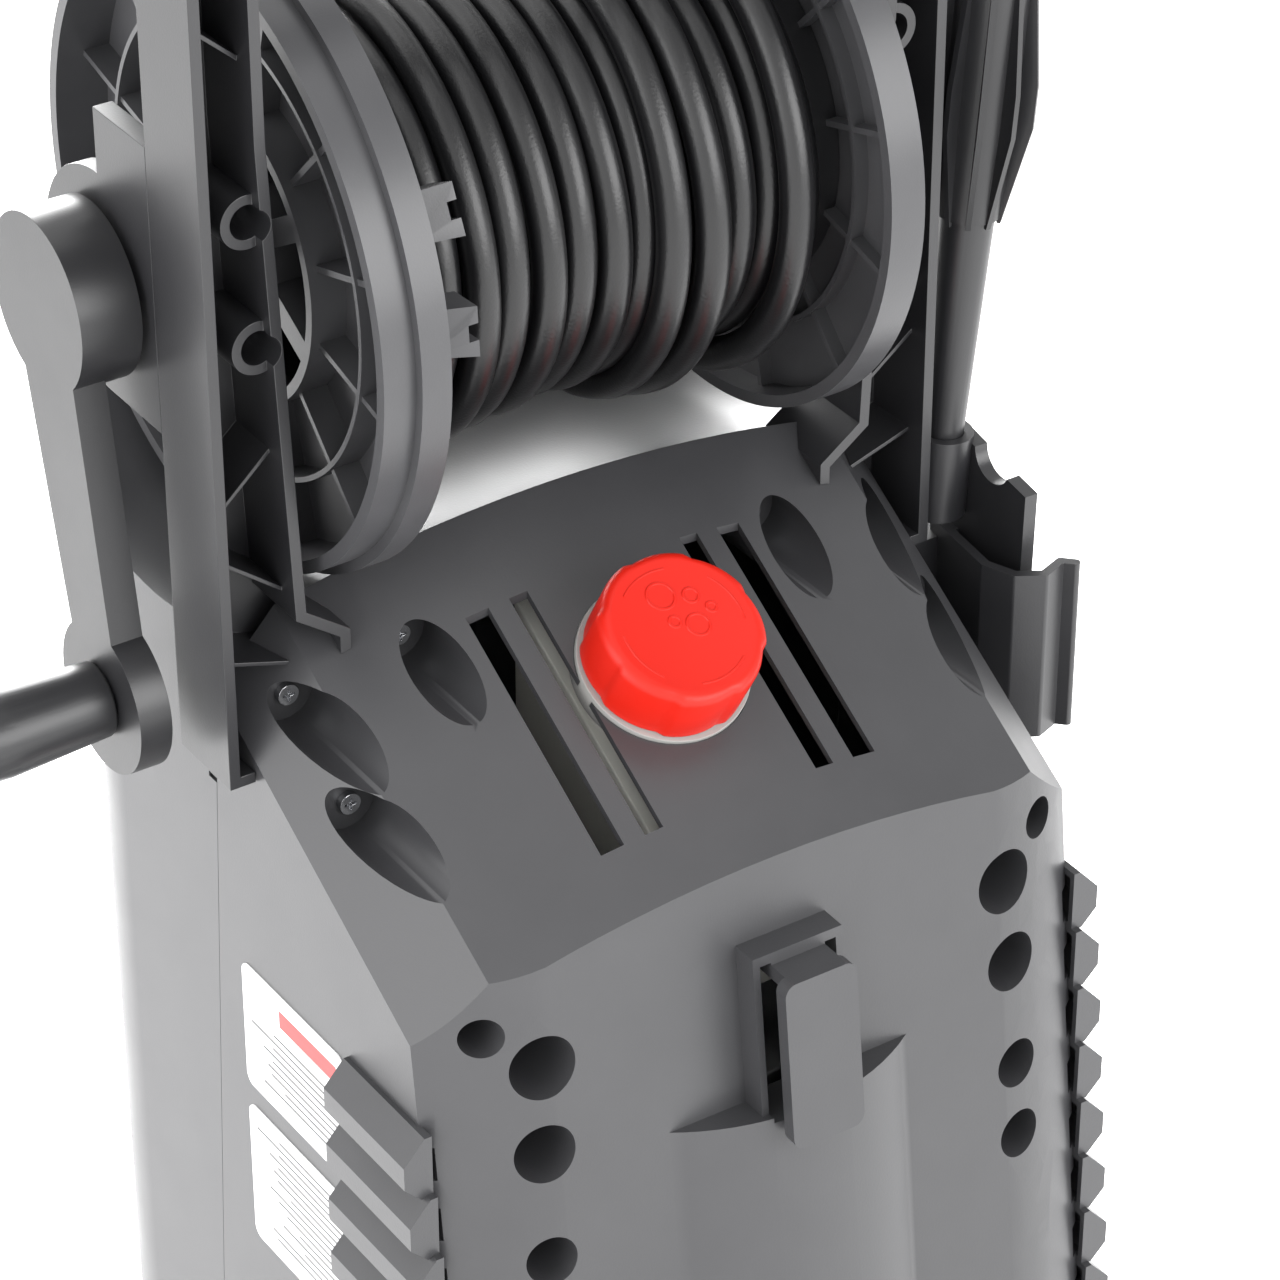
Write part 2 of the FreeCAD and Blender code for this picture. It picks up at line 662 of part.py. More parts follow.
# ---- water feed of the reel ----
swivel_x = upright_out + 18.0
feed_r = 6.0
feed_z = 520.0


def reel_swivel():
    """Brass swivel on the right end of the axle, with an elbow pointing down."""
    body = rod(-swivel_x - 6, reel_y, reel_z, axle_r + 6, swivel_x + 5 - upright_out, (1, 0, 0))
    elbow = rod(-swivel_x + 4, reel_y, reel_z - 62, feed_r + 2, 58)
    bore = rod(-swivel_x - 0.5, reel_y, reel_z, axle_r + running, 60, (1, 0, 0))
    return joined([body, elbow]).cut([bore, rod(-swivel_x + 4, reel_y, reel_z - 70, feed_r - 2, 40)])


def reel_feed_hose():
    """Short hose from the swivel's elbow into the side of the front cover."""
    top = reel_z - 62
    x = -swivel_x + 4
    return bent_tube([(x, reel_y, top), (x, reel_y, feed_z), (-side_half + 12, reel_y, feed_z)], feed_r, 16)


# ---- right side holders ----
lance_x = -171.5
lance_y = -49.0
lance_z = 507.0
lance_lean = (-10.5, 5.0, 180.0)


def on_lance(height):
    return Vec(lance_x, lance_y, lance_z) + Vec(*lance_lean).normalize() * height


def lance_rod(start, radius, length, top_radius=None):
    """Round length of the leaning lance; it tapers when a second radius is given."""
    along = Vec(*lance_lean).normalize()
    if top_radius is None:
        return Part.makeCylinder(radius, length, on_lance(start), along)
    return Part.makeCone(radius, top_radius, length, on_lance(start), along)


def lance_pieces():
    """Spray lance standing nozzle down in its socket, and its ribbed grip sleeve."""
    tube = joined([lance_rod(0, 7.4, 128, 11.0), lance_rod(128, 11.0, 152), lance_rod(280, 7.0, 24)])
    tube = tube.cut(lance_rod(-1, 2.5, 40))
    sleeve = joined([lance_rod(126, 13.0, 40, 15.0), lance_rod(166, 15.0, 92)])
    fins = []
    for n in range(10):
        fin = along_y([(12.0, 124), (13.5, 124), (22.0, 166), (22.0, 184), (14.5, 250), (12.0, 250)],
                      -1.1, 1.1)
        fin.rotate(Vec(0, 0, 0), Vec(0, 0, 1), n * 36 + 18)
        fins.append(fin)
    group = Part.makeCompound(fins)
    group.Placement = FreeCAD.Placement(on_lance(0), FreeCAD.Rotation(Vec(0, 0, 1), Vec(*lance_lean)))
    sleeve = joined([sleeve] + group.Solids).cut([lance_rod(120, 11.0, 150)])
    return tube, sleeve


def holster():
    """J-shaped holder on the right side, open at the top and at its rear."""
    points = [(-172, -50), (-167, -10), (-172, 3), (-182, 9), (-193, 5), (-197, 9)]
    path = [Vec(x, y, 0) for x, y in points]
    low, high = 420.0, 496.0
    sheets = []
    for a, b in zip(path[:-1], path[1:]):
        side = (b - a).cross(Vec(0, 0, 1)).normalize() * 2.0
        sheets.append(along_z([((a + side).x, (a + side).y), ((b + side).x, (b + side).y),
                               ((b - side).x, (b - side).y), ((a - side).x, (a - side).y)], low, high))
        sheets.append(rod(b.x, b.y, low, 2.0, high - low))
    plate = along_x([(-60, 440), (-5, 455), (-3, 525), (-14, 527), (-60, 537)], -186, -180)
    notch = rod(-FAR, -25, 532, 11, 2 * FAR, (1, 0, 0))
    bridge = block(-181, -side_half - gap, -56, -44, 440, 490)
    foot = block(-174, -side_half - gap, -52, -20, 440, 452)
    socket = lance_rod(-7, 12.3, 36)
    wall_side = block(-upright_out - gap, 0, -FAR, FAR, 480, FAR)
    socket = joined([socket, block(-183, lance_x, lance_y - 5, lance_y + 5, 500, 530)]).cut(wall_side)
    return joined(sheets + [plate.cut(notch), bridge, foot, socket]).cut(lance_rod(-0.2, 8.5, 60))


def lower_hook():
    """Separate lower cord hook, an upturned plate on a short neck."""
    z = lower_hook_z
    base = rear_y(z) + bulge_proud + 6
    outline = [(base - 14, z - 16), (base + 9, z - 16), (base + 9, z - 8), (base + 22, z - 8),
               (base + 22, z + 40),
               (base + 16, z + 40), (base + 16, z - 2), (base - 14, z - 2)]
    hook = along_x(outline, -17, 17)
    return hook.cut(rear_outer(-gap))


# ---- tank, cap, labels ----
def tank():
    drop = 24.0
    profile = [(-48, 395), (58, 395), (58, panel_z(60, 58) - drop), (-48, panel_z(60, -48) - drop)]
    body = along_x(profile, -28, 28)
    inner = along_x(inset(profile, 2.5), -25.5, 25.5)
    neck = cap_rod(-34, neck_r - 1, 46)
    hollow = cap_rod(-38, neck_r - 5, 60)
    return joined([body, neck]).cut([inner, hollow])


def collar():
    ring = cap_rod(-9, collar_r, 10.5).cut(cap_rod(-10, neck_r - 0.5, 20))
    return ring


def cap():
    outer = cap_rod(2, cap_r, cap_h)
    top_edges = [e for e in outer.Edges if len(e.Vertexes) == 1 and
                 (e.Vertexes[0].Point - on_cap_axis(2)).dot(cap_normal()) > cap_h / 2]
    outer = outer.makeFillet(3.0, top_edges)
    scoops = []
    for n in range(6):
        scoop = Part.makeCylinder(14, cap_h, Vec(cap_r + 13.2, 0, 6), Vec(0, 0, 1))
        scoop.rotate(Vec(0, 0, 0), Vec(0, 0, 1), n * 60)
        scoops.append(scoop)
    group = Part.makeCompound(scoops)
    group.Placement = FreeCAD.Placement(on_cap_axis(2), FreeCAD.Rotation(Vec(0, 0, 1), cap_normal()))
    return outer.cut(cap_rod(1, neck_r + 1.2, cap_h - 2.5)).cut(group)


def label(y0, y1, z0, z1):
    plate = block(side_half, side_half + 0.5, y0, y1, z0, z1)
    corners = [e for e in plate.Edges if abs(e.Vertexes[0].X - e.Vertexes[-1].X) > 0.2]
    return plate.makeFillet(5.0, corners)


# ---- motor, pump, water and electrical parts ----
def motor_pieces():
    low, high = motor_z0, motor_z1
    shell_ = pipe(0, motor_y, low, motor_r, motor_r - 3, high - low)
    stator = pipe(0, motor_y, low + 20, motor_r - 3, rotor_r + 1.2, high - low - 50)
    cap_ = rod(0, motor_y, high, motor_r, 12).cut([rod(0, motor_y, high - 1, shaft_r + running, 8),
                                                    pipe(0, motor_y, high - 1, motor_r - 6, 18, 5)])
    shaft = rod(0, motor_y, 166, shaft_r, high + 6 - 166)
    rotor = pipe(0, motor_y, low + 22, rotor_r, shaft_r, high - low - 54)
    blades = [pipe(0, motor_y, high - 26, 12, shaft_r, 16)]
    for n in range(9):
        blade = block(9, 48, -1, 1, high - 26, high - 12)
        blade.rotate(Vec(0, 0, 0), Vec(0, 0, 1), n * 40)
        blade.translate(Vec(0, motor_y, 0))
        blades.append(blade)
    fan = joined(blades).cut(rod(0, motor_y, low, shaft_r, high - low))
    return joined([shell_, stator]), cap_, shaft, rotor, fan


def pump_pieces():
    """Axial piston pump under the motor: gear case, wobble plate, pistons and brass head."""
    case_z0, case_z1 = 130.0, motor_z0
    case = rod(0, motor_y, case_z0, 52, case_z1 - case_z0)
    case = case.cut([rod(0, motor_y, case_z0 + 12, 44, case_z1 - case_z0 - 20),
                     rod(0, motor_y, case_z1 - 9, shaft_r + running, 12)])
    tilt = Part.makeCylinder(34, 9, Vec(0, 0, -4.5), Vec(0, 0, 1))
    tilt.rotate(Vec(0, 0, 0), Vec(1, 0, 0), 9)
    tilt.translate(Vec(0, motor_y, 184))
    plate = tilt.fuse(rod(0, motor_y, 176, 13, 18)).cut(rod(0, motor_y, 160, shaft_r, 60))
    spots = [(22 * math.cos(math.radians(a)), 22 * math.sin(math.radians(a))) for a in (90, 210, 330)]
    pistons = [rod(x, motor_y + y, 108, 6.0, 58) for x, y in spots]
    case = case.cut([rod(x, motor_y + y, 100, 6.05, 60) for x, y in spots])
    head = block(-46, 46, motor_y - 36, motor_y + 36, stand_top, case_z0)
    head = head.cut([rod(x, motor_y + y, stand_top + 10, 6.05, 60) for x, y in spots])
    return case, plate, Part.makeCompound(pistons), head


def fitting(x, z, outer):
    """Threaded water fitting on the front, with a flange behind the cover."""
    body = joined([rod(x, front_y - 24, z, outer, 60, (0, 1, 0)),
                   rod(x, front_y + wall + gap, z, outer + 5, 6, (0, 1, 0))])
    grooves = [pipe(x, front_y - 22 + 3 * n, z, outer + 1, outer - 1, 1.4, (0, 1, 0)) for n in range(5)]
    return body.cut(grooves + [rod(x, front_y - 25, z, outer - 4.5, 50, (0, 1, 0))])


def bent_tube(points, radius, bend):
    """Round tube along straight runs joined by tangent arcs."""
    pts = [Vec(*p) for p in points]
    edges, last = [], pts[0]
    for before, corner, after in zip(pts[:-2], pts[1:-1], pts[2:]):
        u = (before - corner).normalize()
        w = (after - corner).normalize()
        turn = math.pi - u.getAngle(w)
        back = bend * math.tan(turn / 2)
        start, stop = corner + u * back, corner + w * back
        centre = corner + (u + w).normalize() * (bend / math.cos(turn / 2))
        middle = centre + (corner - centre).normalize() * bend
        edges += [Part.makeLine(last, start), Part.Arc(start, middle, stop).toShape()]
        last = stop
    edges.append(Part.makeLine(last, pts[-1]))
    path = Part.Wire(edges)
    ring = Part.Wire([Part.makeCircle(radius, pts[0], pts[1] - pts[0])])
    return path.makePipeShell([ring], True, False)


def switch_pieces():
    box = block(-26, 26, front_y + wall + 1, front_y + 52, switch_z - 28, switch_z + 28)
    box = box.cut([block(-23, 23, front_y + wall + 4, front_y + 49, switch_z - 25, switch_z + 25),
                   rod(0, front_y - 5, switch_z, knob_stem_r + running, 40, (0, 1, 0))])
    plate = rod(0, front_y - 14, switch_z, 24, 13.2, (0, 1, 0))
    sides = [block(x0, x1, front_y - 15, front_y - 4, switch_z - 30, switch_z + 30)
             for x0, x1 in ((-40, -6), (6, 40))]
    knob = plate.cut(sides).fuse(rod(0, front_y - 4.5, switch_z, 24, 3.7, (0, 1, 0)))
    knob = knob.fuse(rod(0, front_y - 2, switch_z, knob_stem_r, 30, (0, 1, 0)))
    return box, knob


def cord_gland():
    x, z, r = fitting_holes[2]
    nose = Part.makeCone(r - 3.5, r - 1, 22, Vec(x, front_y - 22, z), Vec(0, 1, 0))
    nose = nose.fuse([rod(x, front_y, z, r, wall + gap, (0, 1, 0)),
                      rod(x, front_y + wall + gap, z, r + 4, 10, (0, 1, 0))])
    return joined([nose]).cut(rod(x, front_y - 25, z, 4.0, 50, (0, 1, 0)))


# ---- wheels ----
def wheel_pieces():
    x0 = side_half + wheel_gap
    tyre = pipe(x0, wheel_y, wheel_r, wheel_r, hub_r, tyre_wide, (1, 0, 0))
    rims = [e for e in tyre.Edges if abs(e.BoundBox.ZLength - 2 * wheel_r) < 1]
    tyre = tyre.makeFillet(8.0, rims)
    hub = joined([pipe(x0 + 2, wheel_y, wheel_r, hub_r, hub_r - 5, tyre_wide - 4, (1, 0, 0)),
                  pipe(x0 + 12, wheel_y, wheel_r, hub_r - 3, 14, 4, (1, 0, 0)),
                  pipe(x0, wheel_y, wheel_r, 16, 5, tyre_wide, (1, 0, 0))])
    hub = hub.cut(rod(x0 - 1, wheel_y, wheel_r, wheel_axle_r + running, tyre_wide + 2, (1, 0, 0)))
    windows = []
    for n in range(6):
        window = rod(x0, 40, 0, 12, tyre_wide, (1, 0, 0))
        window.rotate(Vec(0, 0, 0), Vec(1, 0, 0), n * 60)
        window.translate(Vec(0, wheel_y, wheel_r))
        windows.append(window)
    hub = hub.cut(windows)
    end = x0 + tyre_wide + 1
    cap_ = rod(end, wheel_y, wheel_r, 17, 7, (1, 0, 0))
    cap_ = cap_.cut(rod(end - 1, wheel_y, wheel_r, wheel_axle_r, 6, (1, 0, 0)))
    return tyre, hub, cap_


# ---- fasteners ----
def screw(x, y, z, head, shank, length):
    """Pan head with its flat side on y; the shank runs towards the front."""
    body = joined([rod(x, y, z, head, 3.2, (0, 1, 0)), rod(x, y - length, z, shank, length, (0, 1, 0))])
    cross = [block(x - 2.4, x + 2.4, y + 1.8, y + 5, z - 0.5, z + 0.5),
             block(x - 0.5, x + 0.5, y + 1.8, y + 5, z - 2.4, z + 2.4)]
    return body.cut(cross)


def cover_screws():
    group = []
    for x, y, z, radius in bores:
        group += both_sides(screw(x, y - bore_depth + 0.05, z, 4.3, 2.3, 9))
    return Part.makeCompound(group)


def upright_screws():
    group = []
    for x, z in boss_spots:
        group += both_sides(screw(x, upright_front + upright_wall + 0.05, z, 5.4, 2.4, 11))
    return Part.makeCompound(group)


# ---- write every node ----
def main():
    save("rear_cover", rear_cover())
    save("front_cover", front_cover())
    save("base_pan", base_pan())
    save("front_feet", feet())
    left = upright()
    save("left_upright", left)
    save("right_upright", mirrored(left))
    bracket = reel_bracket()
    save("left_reel_bracket", bracket)
    save("right_reel_bracket", mirrored(bracket))
    save("handle_front_shell", handle_shell(True))
    save("handle_rear_shell", handle_shell(False))
    save("reel_left_flange", left_flange())
    save("reel_right_flange", right_flange())
    drum, axle, coil, connector = reel_pieces()
    save("reel_drum", drum)
    save("reel_axle", axle)
    save("hose_coil", coil)
    save("hose_connector", connector)
    save("reel_swivel", reel_swivel())
    save("reel_feed_hose", reel_feed_hose())
    save("crank_arm", crank_arm())
    pin, grip = crank_grip_pieces()
    save("crank_grip_pin", pin)
    save("crank_grip", grip)
    save("right_holster", holster())
    lance, sleeve = lance_pieces()
    save("spray_lance", lance)
    save("lance_sleeve", sleeve)
    save("lower_cord_hook", lower_hook())
    save("detergent_tank", tank())
    save("filler_collar", collar())
    save("soap_cap", cap())
    save("rating_label", label(-55, 21, 346, 404))
    save("notice_label", label(-55, 21, 270, 336))
    casing, end_cap, shaft, rotor, fan = motor_pieces()
    save("motor_casing", casing)
    save("motor_end_cap", end_cap)
    save("motor_shaft", shaft)
    save("motor_rotor", rotor)
    save("cooling_fan", fan)
    case, wobble, pistons, head = pump_pieces()
    save("pump_case", case)
    save("wobble_plate", wobble)
    save("pump_pistons", pistons)
    save("pump_head", head)
    save("water_inlet", fitting(*fitting_holes[0]))
    save("water_outlet", fitting(*fitting_holes[1]))
    box, knob = switch_pieces()
    save("switch_box", box)
    save("switch_knob", knob)
    save("cord_gland", cord_gland())
    save("capacitor", rod(70, -120, shell_bottom + 20, 20, 90))
    tyre, hub, hub_cap = wheel_pieces()
    for side, turn in (("left", lambda s: s), ("right", mirrored)):
        save(side + "_tyre", turn(tyre))
        save(side + "_wheel_hub", turn(hub))
        save(side + "_hub_cap", turn(hub_cap))
    reach = side_half + wheel_gap + tyre_wide + 6
    save("wheel_axle", rod(-reach, wheel_y, wheel_r, wheel_axle_r, 2 * reach, (1, 0, 0)))
    save("cover_screws", cover_screws())
    save("upright_screws", upright_screws())
    write_nodes()


main()
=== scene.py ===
"""Upright pressure washer with a hose reel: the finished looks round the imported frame."""
import json
import math

import bmesh
import bpy
from mathutils import Matrix, Vector


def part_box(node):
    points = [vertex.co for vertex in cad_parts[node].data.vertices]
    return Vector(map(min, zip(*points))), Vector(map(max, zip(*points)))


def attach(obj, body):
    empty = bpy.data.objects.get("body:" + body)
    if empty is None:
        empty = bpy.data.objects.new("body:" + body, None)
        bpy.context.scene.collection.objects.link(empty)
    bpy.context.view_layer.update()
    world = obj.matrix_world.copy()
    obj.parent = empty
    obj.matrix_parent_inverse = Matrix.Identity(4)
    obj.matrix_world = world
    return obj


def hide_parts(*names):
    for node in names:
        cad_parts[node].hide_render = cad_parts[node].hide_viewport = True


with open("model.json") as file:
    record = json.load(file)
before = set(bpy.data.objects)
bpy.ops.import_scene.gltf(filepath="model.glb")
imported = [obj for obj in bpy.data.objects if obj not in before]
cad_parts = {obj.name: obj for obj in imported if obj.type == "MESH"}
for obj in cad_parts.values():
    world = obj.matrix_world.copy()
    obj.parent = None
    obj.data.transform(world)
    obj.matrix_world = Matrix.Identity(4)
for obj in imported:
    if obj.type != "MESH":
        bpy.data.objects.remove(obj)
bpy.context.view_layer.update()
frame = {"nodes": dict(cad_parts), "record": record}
MM = 0.001

# ---- Camera -----------------------------------------------------------------------------------
# The view is from behind and above, on the crank side. Places are given in mm: x from the machine's
# middle plane, y from a line 215 mm behind its front, z from the floor.
pan_low, pan_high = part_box("base_pan")
MIDDLE_X = (pan_low[0] + pan_high[0]) / 2
FRONT_Y = pan_low[1]
FRONT_DEPTH = 215
VIEW_LENS = 136.85
VIEW_PLACE = (843.4, 1266.9, 1506.0)
VIEW_AZIMUTH = math.radians(146.42)
VIEW_ELEVATION = math.radians(32.81)


def at(x, y, z):
    return Vector((MIDDLE_X + x * MM, FRONT_Y + (y + FRONT_DEPTH) * MM, z * MM))


def add_camera():
    data = bpy.data.cameras.new("view")
    data.lens = VIEW_LENS
    data.sensor_width = 36
    data.clip_end = 50
    camera = bpy.data.objects.new("view", data)
    bpy.context.scene.collection.objects.link(camera)
    right = Vector((math.cos(VIEW_AZIMUTH), math.sin(VIEW_AZIMUTH), 0))
    back = Vector((math.sin(VIEW_AZIMUTH) * math.cos(VIEW_ELEVATION),
                   -math.cos(VIEW_AZIMUTH) * math.cos(VIEW_ELEVATION), math.sin(VIEW_ELEVATION)))
    up = back.cross(right)
    turned = Matrix((right, up, back)).transposed().to_4x4()
    camera.matrix_world = Matrix.Translation(at(*VIEW_PLACE)) @ turned
    bpy.context.scene.camera = camera


add_camera()

# ---- Pressure hose ----------------------------------------------------------------------------
# Braided rubber hose of 13.4 mm, wound by hand: one close layer on the drum, and three looser turns
# over it on the right. It starts at the drum's left end and ends in its brass screw coupling.


def srgb(code):
    """A colour such as "4A4A4B" as the linear values that a shader takes."""
    values = [int(code[i:i + 2], 16) / 255 for i in (0, 2, 4)]
    return tuple(v / 12.92 if v <= 0.04045 else ((v + 0.055) / 1.055) ** 2.4 for v in values) + (1.0,)


def node(tree, kind, links=(), **settings):
    """Adds a node; links is a list of (input, output socket), settings are inputs or properties."""
    new = tree.nodes.new(kind)
    for key, value in settings.items():
        if key.startswith("in_"):
            new.inputs[key[3:].replace("_", " ")].default_value = value
        else:
            setattr(new, key, value)
    for name, socket in links:
        tree.links.new(socket, new.inputs[name])
    return new


def surface(name, base, dark, roughness, metallic=0.0, mottle=0.035, grain=0.0008, bump=0.10,
            rough_spread=0.10, ior=None, gloss=0.5):
    """A finish with cloudy colour, uneven gloss and a fine grain; lengths are in metres.

    A real grain of 0.1 to 0.3 mm is too fine to show, so it is drawn at about 1 mm.
    """
    made = bpy.data.materials.new(name)
    made.use_nodes = True
    tree = made.node_tree
    shader = tree.nodes["Principled BSDF"]
    shader.inputs["Metallic"].default_value = metallic
    shader.inputs["Specular IOR Level"].default_value = gloss
    if ior:
        shader.inputs["IOR"].default_value = ior
    place = node(tree, "ShaderNodeTexCoord")
    cloud = node(tree, "ShaderNodeTexNoise", [("Vector", place.outputs["Object"])],
                 in_Scale=1 / mottle, in_Detail=4.0, in_Roughness=0.6)
    colour = node(tree, "ShaderNodeMix", [("Factor", cloud.outputs["Fac"])], data_type="RGBA")
    colour.inputs["A"].default_value = srgb(dark)
    colour.inputs["B"].default_value = srgb(base)
    tree.links.new(colour.outputs["Result"], shader.inputs["Base Color"])
    wear = node(tree, "ShaderNodeMapRange", [("Value", cloud.outputs["Fac"])])
    wear.inputs["To Min"].default_value = roughness - rough_spread / 2
    wear.inputs["To Max"].default_value = roughness + rough_spread / 2
    tree.links.new(wear.outputs["Result"], shader.inputs["Roughness"])
    fine = node(tree, "ShaderNodeTexNoise", [("Vector", place.outputs["Object"])],
                in_Scale=1 / grain, in_Detail=2.0)
    relief = node(tree, "ShaderNodeBump", [("Height", fine.outputs["Fac"])],
                  in_Strength=bump, in_Distance=0.0003)
    tree.links.new(relief.outputs["Normal"], shader.inputs["Normal"])
    return made


# Extruded rubber: near black, a soft sheen, and the faint weave of the braid showing through.
HOSE_RUBBER = surface("extruded_hose_rubber", "101012", "0A0A0B", 0.33, grain=0.0011, bump=0.30)

drum_low, drum_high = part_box("reel_drum")
REEL = Vector(((drum_low[0] + drum_high[0]) / 2, (drum_low[1] + drum_high[1]) / 2,
               (drum_low[2] + drum_high[2]) / 2))
DRUM_R = (drum_high[2] - drum_low[2]) / 2
HOSE_D = 0.0134
# One row for each turn: place along the axle from the middle plane, and radius, both in mm.
TURNS = ((80, 78.9), (66, 81), (52, 85), (38.5, 83), (22, 82), (7.5, 79.5), (-7, 80.5), (-20.5, 79),
         (-34, 79), (-48, 79), (-62, 79), (-76, 79), (-90, 79), (-79, 93), (-42, 92), (-27, 89.5))
LAST_PLACE = (-8, 94.5)   # where the last turn steps to: the coupling's place
FIRST_RISE = 3            # the first turn comes up from this far above the drum
STEP_SHARE = 0.17         # part of a turn, before and after its start, in which it steps sideways
WANDER = 0.7              # how far a turn strays from its plane, twice each turn
WANDER_SHIFT = 3.1        # makes neighbouring turns stray differently
POINTS_PER_TURN = 16
COUPLING_STRAIGHT = 0.012 # the hose comes down straight from this far above the coupling
COUPLING_OVERLAP = 0.002


def reel_point(x, radius, angle):
    return Vector((MIDDLE_X + x * MM, REEL.y + radius * MM * math.cos(angle),
                   REEL.z + radius * MM * math.sin(angle)))


def smooth(share):
    return share * share * (3 - 2 * share)


def hose_route():
    """Each turn starts and ends on the side away from the operator, where it steps sideways."""
    step = 2 * math.pi / POINTS_PER_TURN
    # the smooth curve runs inside its points, by this share of the radius
    swell = 1 / (0.75 + 0.25 * math.cos(step))
    points = []
    for number, (x, radius) in enumerate(TURNS):
        before = TURNS[number - 1] if number else (x, DRUM_R / MM + FIRST_RISE)
        after = TURNS[number + 1] if number + 1 < len(TURNS) else LAST_PLACE
        for part in range(POINTS_PER_TURN):
            share = part / POINTS_PER_TURN
            place, reach = x, radius
            if share < STEP_SHARE:
                blend = smooth(0.5 + share / (2 * STEP_SHARE))
                place = before[0] + (x - before[0]) * blend
                reach = before[1] + (radius - before[1]) * blend
            elif share > 1 - STEP_SHARE:
                blend = smooth((share - 1 + STEP_SHARE) / (2 * STEP_SHARE))
                place = x + (after[0] - x) * blend
                reach = radius + (after[1] - radius) * blend
            stray = WANDER * math.sin(WANDER_SHIFT * number + 2 * math.pi * share * 2)
            points.append(reel_point(place + stray, reach * swell, math.pi + 2 * math.pi * share))
    coupling_low, coupling_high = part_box("hose_connector")
    middle = (Vector(coupling_low) + Vector(coupling_high)) / 2
    points.append(Vector((middle.x, middle.y, coupling_high[2] + COUPLING_STRAIGHT)))
    points.append(Vector((middle.x, middle.y, coupling_high[2] - COUPLING_OVERLAP)))
    return points


def cord_curve(name, points, diameter, material):
    data = bpy.data.curves.new(name, "CURVE")
    data.dimensions = "3D"
    data.bevel_depth = diameter / 2
    data.bevel_resolution = 6
    data.resolution_u = 6
    data.use_fill_caps = True
    spline = data.splines.new("NURBS")
    spline.points.add(len(points) - 1)
    for slot, point in zip(spline.points, points):
        slot.co = (*point, 1)
    spline.order_u = 3
    spline.use_endpoint_u = True
    data.materials.append(material)
    piece = bpy.data.objects.new(name, data)
    bpy.context.scene.collection.objects.link(piece)
    return piece


def line_length(piece):
    """Length of a curve's own line, without its thickness."""
    data = piece.data.copy()
    data.bevel_depth = 0
    probe = bpy.data.objects.new("probe", data)
    bpy.context.scene.collection.objects.link(probe)
    mesh = bpy.data.meshes.new_from_object(probe.evaluated_get(bpy.context.evaluated_depsgraph_get()))
    spots = [v.co.copy() for v in mesh.vertices]
    bpy.data.objects.remove(probe)
    bpy.data.meshes.remove(mesh)
    return sum((b - a).length for a, b in zip(spots, spots[1:]))


route = hose_route()
hose = cord_curve("wound_hose", route, HOSE_D, HOSE_RUBBER)
HOSE_LENGTH = round(line_length(hose), 3)
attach(hose, "hose_reel")
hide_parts("hose_coil")

# ---- Hose coupling ----------------------------------------------------------------------------
# Turned brass screw coupling, crimped on the hose's free end and tucked behind the turns.
SAME_SPOT = 2e-6
FLAT_WITHIN = math.radians(0.6)
SHARP_FROM = math.radians(28)


def baked_mesh(piece):
    """Replaces a piece's mesh by what its modifiers make of it."""
    view = bpy.context.evaluated_depsgraph_get()
    solid = bpy.data.meshes.new_from_object(piece.evaluated_get(view))
    piece.modifiers.clear()
    piece.data = solid


def cad_copy(name, cad_node, width, material, segments=2, angle=32):
    """A CAD node's own shape with its sharp edges rounded by width, as moulded or cast parts are."""
    mesh = frame["nodes"][cad_node].data.copy()
    mesh.materials.clear()
    shape = bmesh.new()
    shape.from_mesh(mesh)
    bmesh.ops.remove_doubles(shape, verts=shape.verts, dist=SAME_SPOT)
    bmesh.ops.dissolve_limit(shape, angle_limit=FLAT_WITHIN, verts=shape.verts, edges=shape.edges)
    shape.to_mesh(mesh)
    shape.free()
    mesh.materials.append(material)
    piece = bpy.data.objects.new(name, mesh)
    bpy.context.scene.collection.objects.link(piece)
    if width:
        bevel = piece.modifiers.new("edge", "BEVEL")
        bevel.width = width
        bevel.segments = segments
        bevel.limit_method = "ANGLE"
        bevel.angle_limit = math.radians(angle)
        bevel.use_clamp_overlap = True
        bevel.miter_outer = "MITER_ARC"
    baked_mesh(piece)
    piece.data.shade_smooth()
    piece.data.set_sharp_from_angle(angle=SHARP_FROM)
    even = piece.modifiers.new("even_shading", "WEIGHTED_NORMAL")
    even.keep_sharp = True
    even.weight = 100
    baked_mesh(piece)
    return piece


def body_of(cad_node):
    bodies = frame["record"]["behaviour"]["bodies"]
    return next(body for body, members in bodies.items() if cad_node in members)


def finished(cad_node, material, width=0.0006, **how):
    """The visible piece of a CAD node, in the same place and on the same body."""
    piece = cad_copy(cad_node + "_finished", cad_node, width, material, **how)
    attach(piece, body_of(cad_node))
    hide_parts(cad_node)
    return piece


# Brass: yellow metal, turned, slightly dulled.
BRASS = surface("turned_brass", "C9A25A", "A9823F", 0.28, metallic=1.0, grain=0.0006, bump=0.06)
coupling = finished("hose_connector", BRASS, 0.0004)

# ---- Reel -------------------------------------------------------------------------------------
# Drum and flanges are moulded in dark polypropylene with a soft sheen, the drum duller and darker;
# ribs stiffen the flanges and the left rim is stepped. The pieces are screwed together round a steel
# axle, turned to a fine bright finish.
REEL_PLASTIC = surface("moulded_reel_polypropylene", "444446", "38383A", 0.34, ior=1.49)
STEEL = surface("turned_steel", "B4B5B8", "8E8F92", 0.30, metallic=1.0, grain=0.0005, bump=0.05)
DRUM_PLASTIC = surface("moulded_black_drum", "161618", "101012", 0.45, ior=1.49)
LUG_DEEP = 0.0079        # points this near the lugs' free ends belong to the lugs
LUG_TIP = 0.6            # share of that depth which moves towards the hose
LUG_LONGER = 0.009
LUG_OUTWARDS = 1.08
left_flange = finished("reel_left_flange", REEL_PLASTIC, 0.0008)
lug_end = min(v.co.x for v in left_flange.data.vertices)
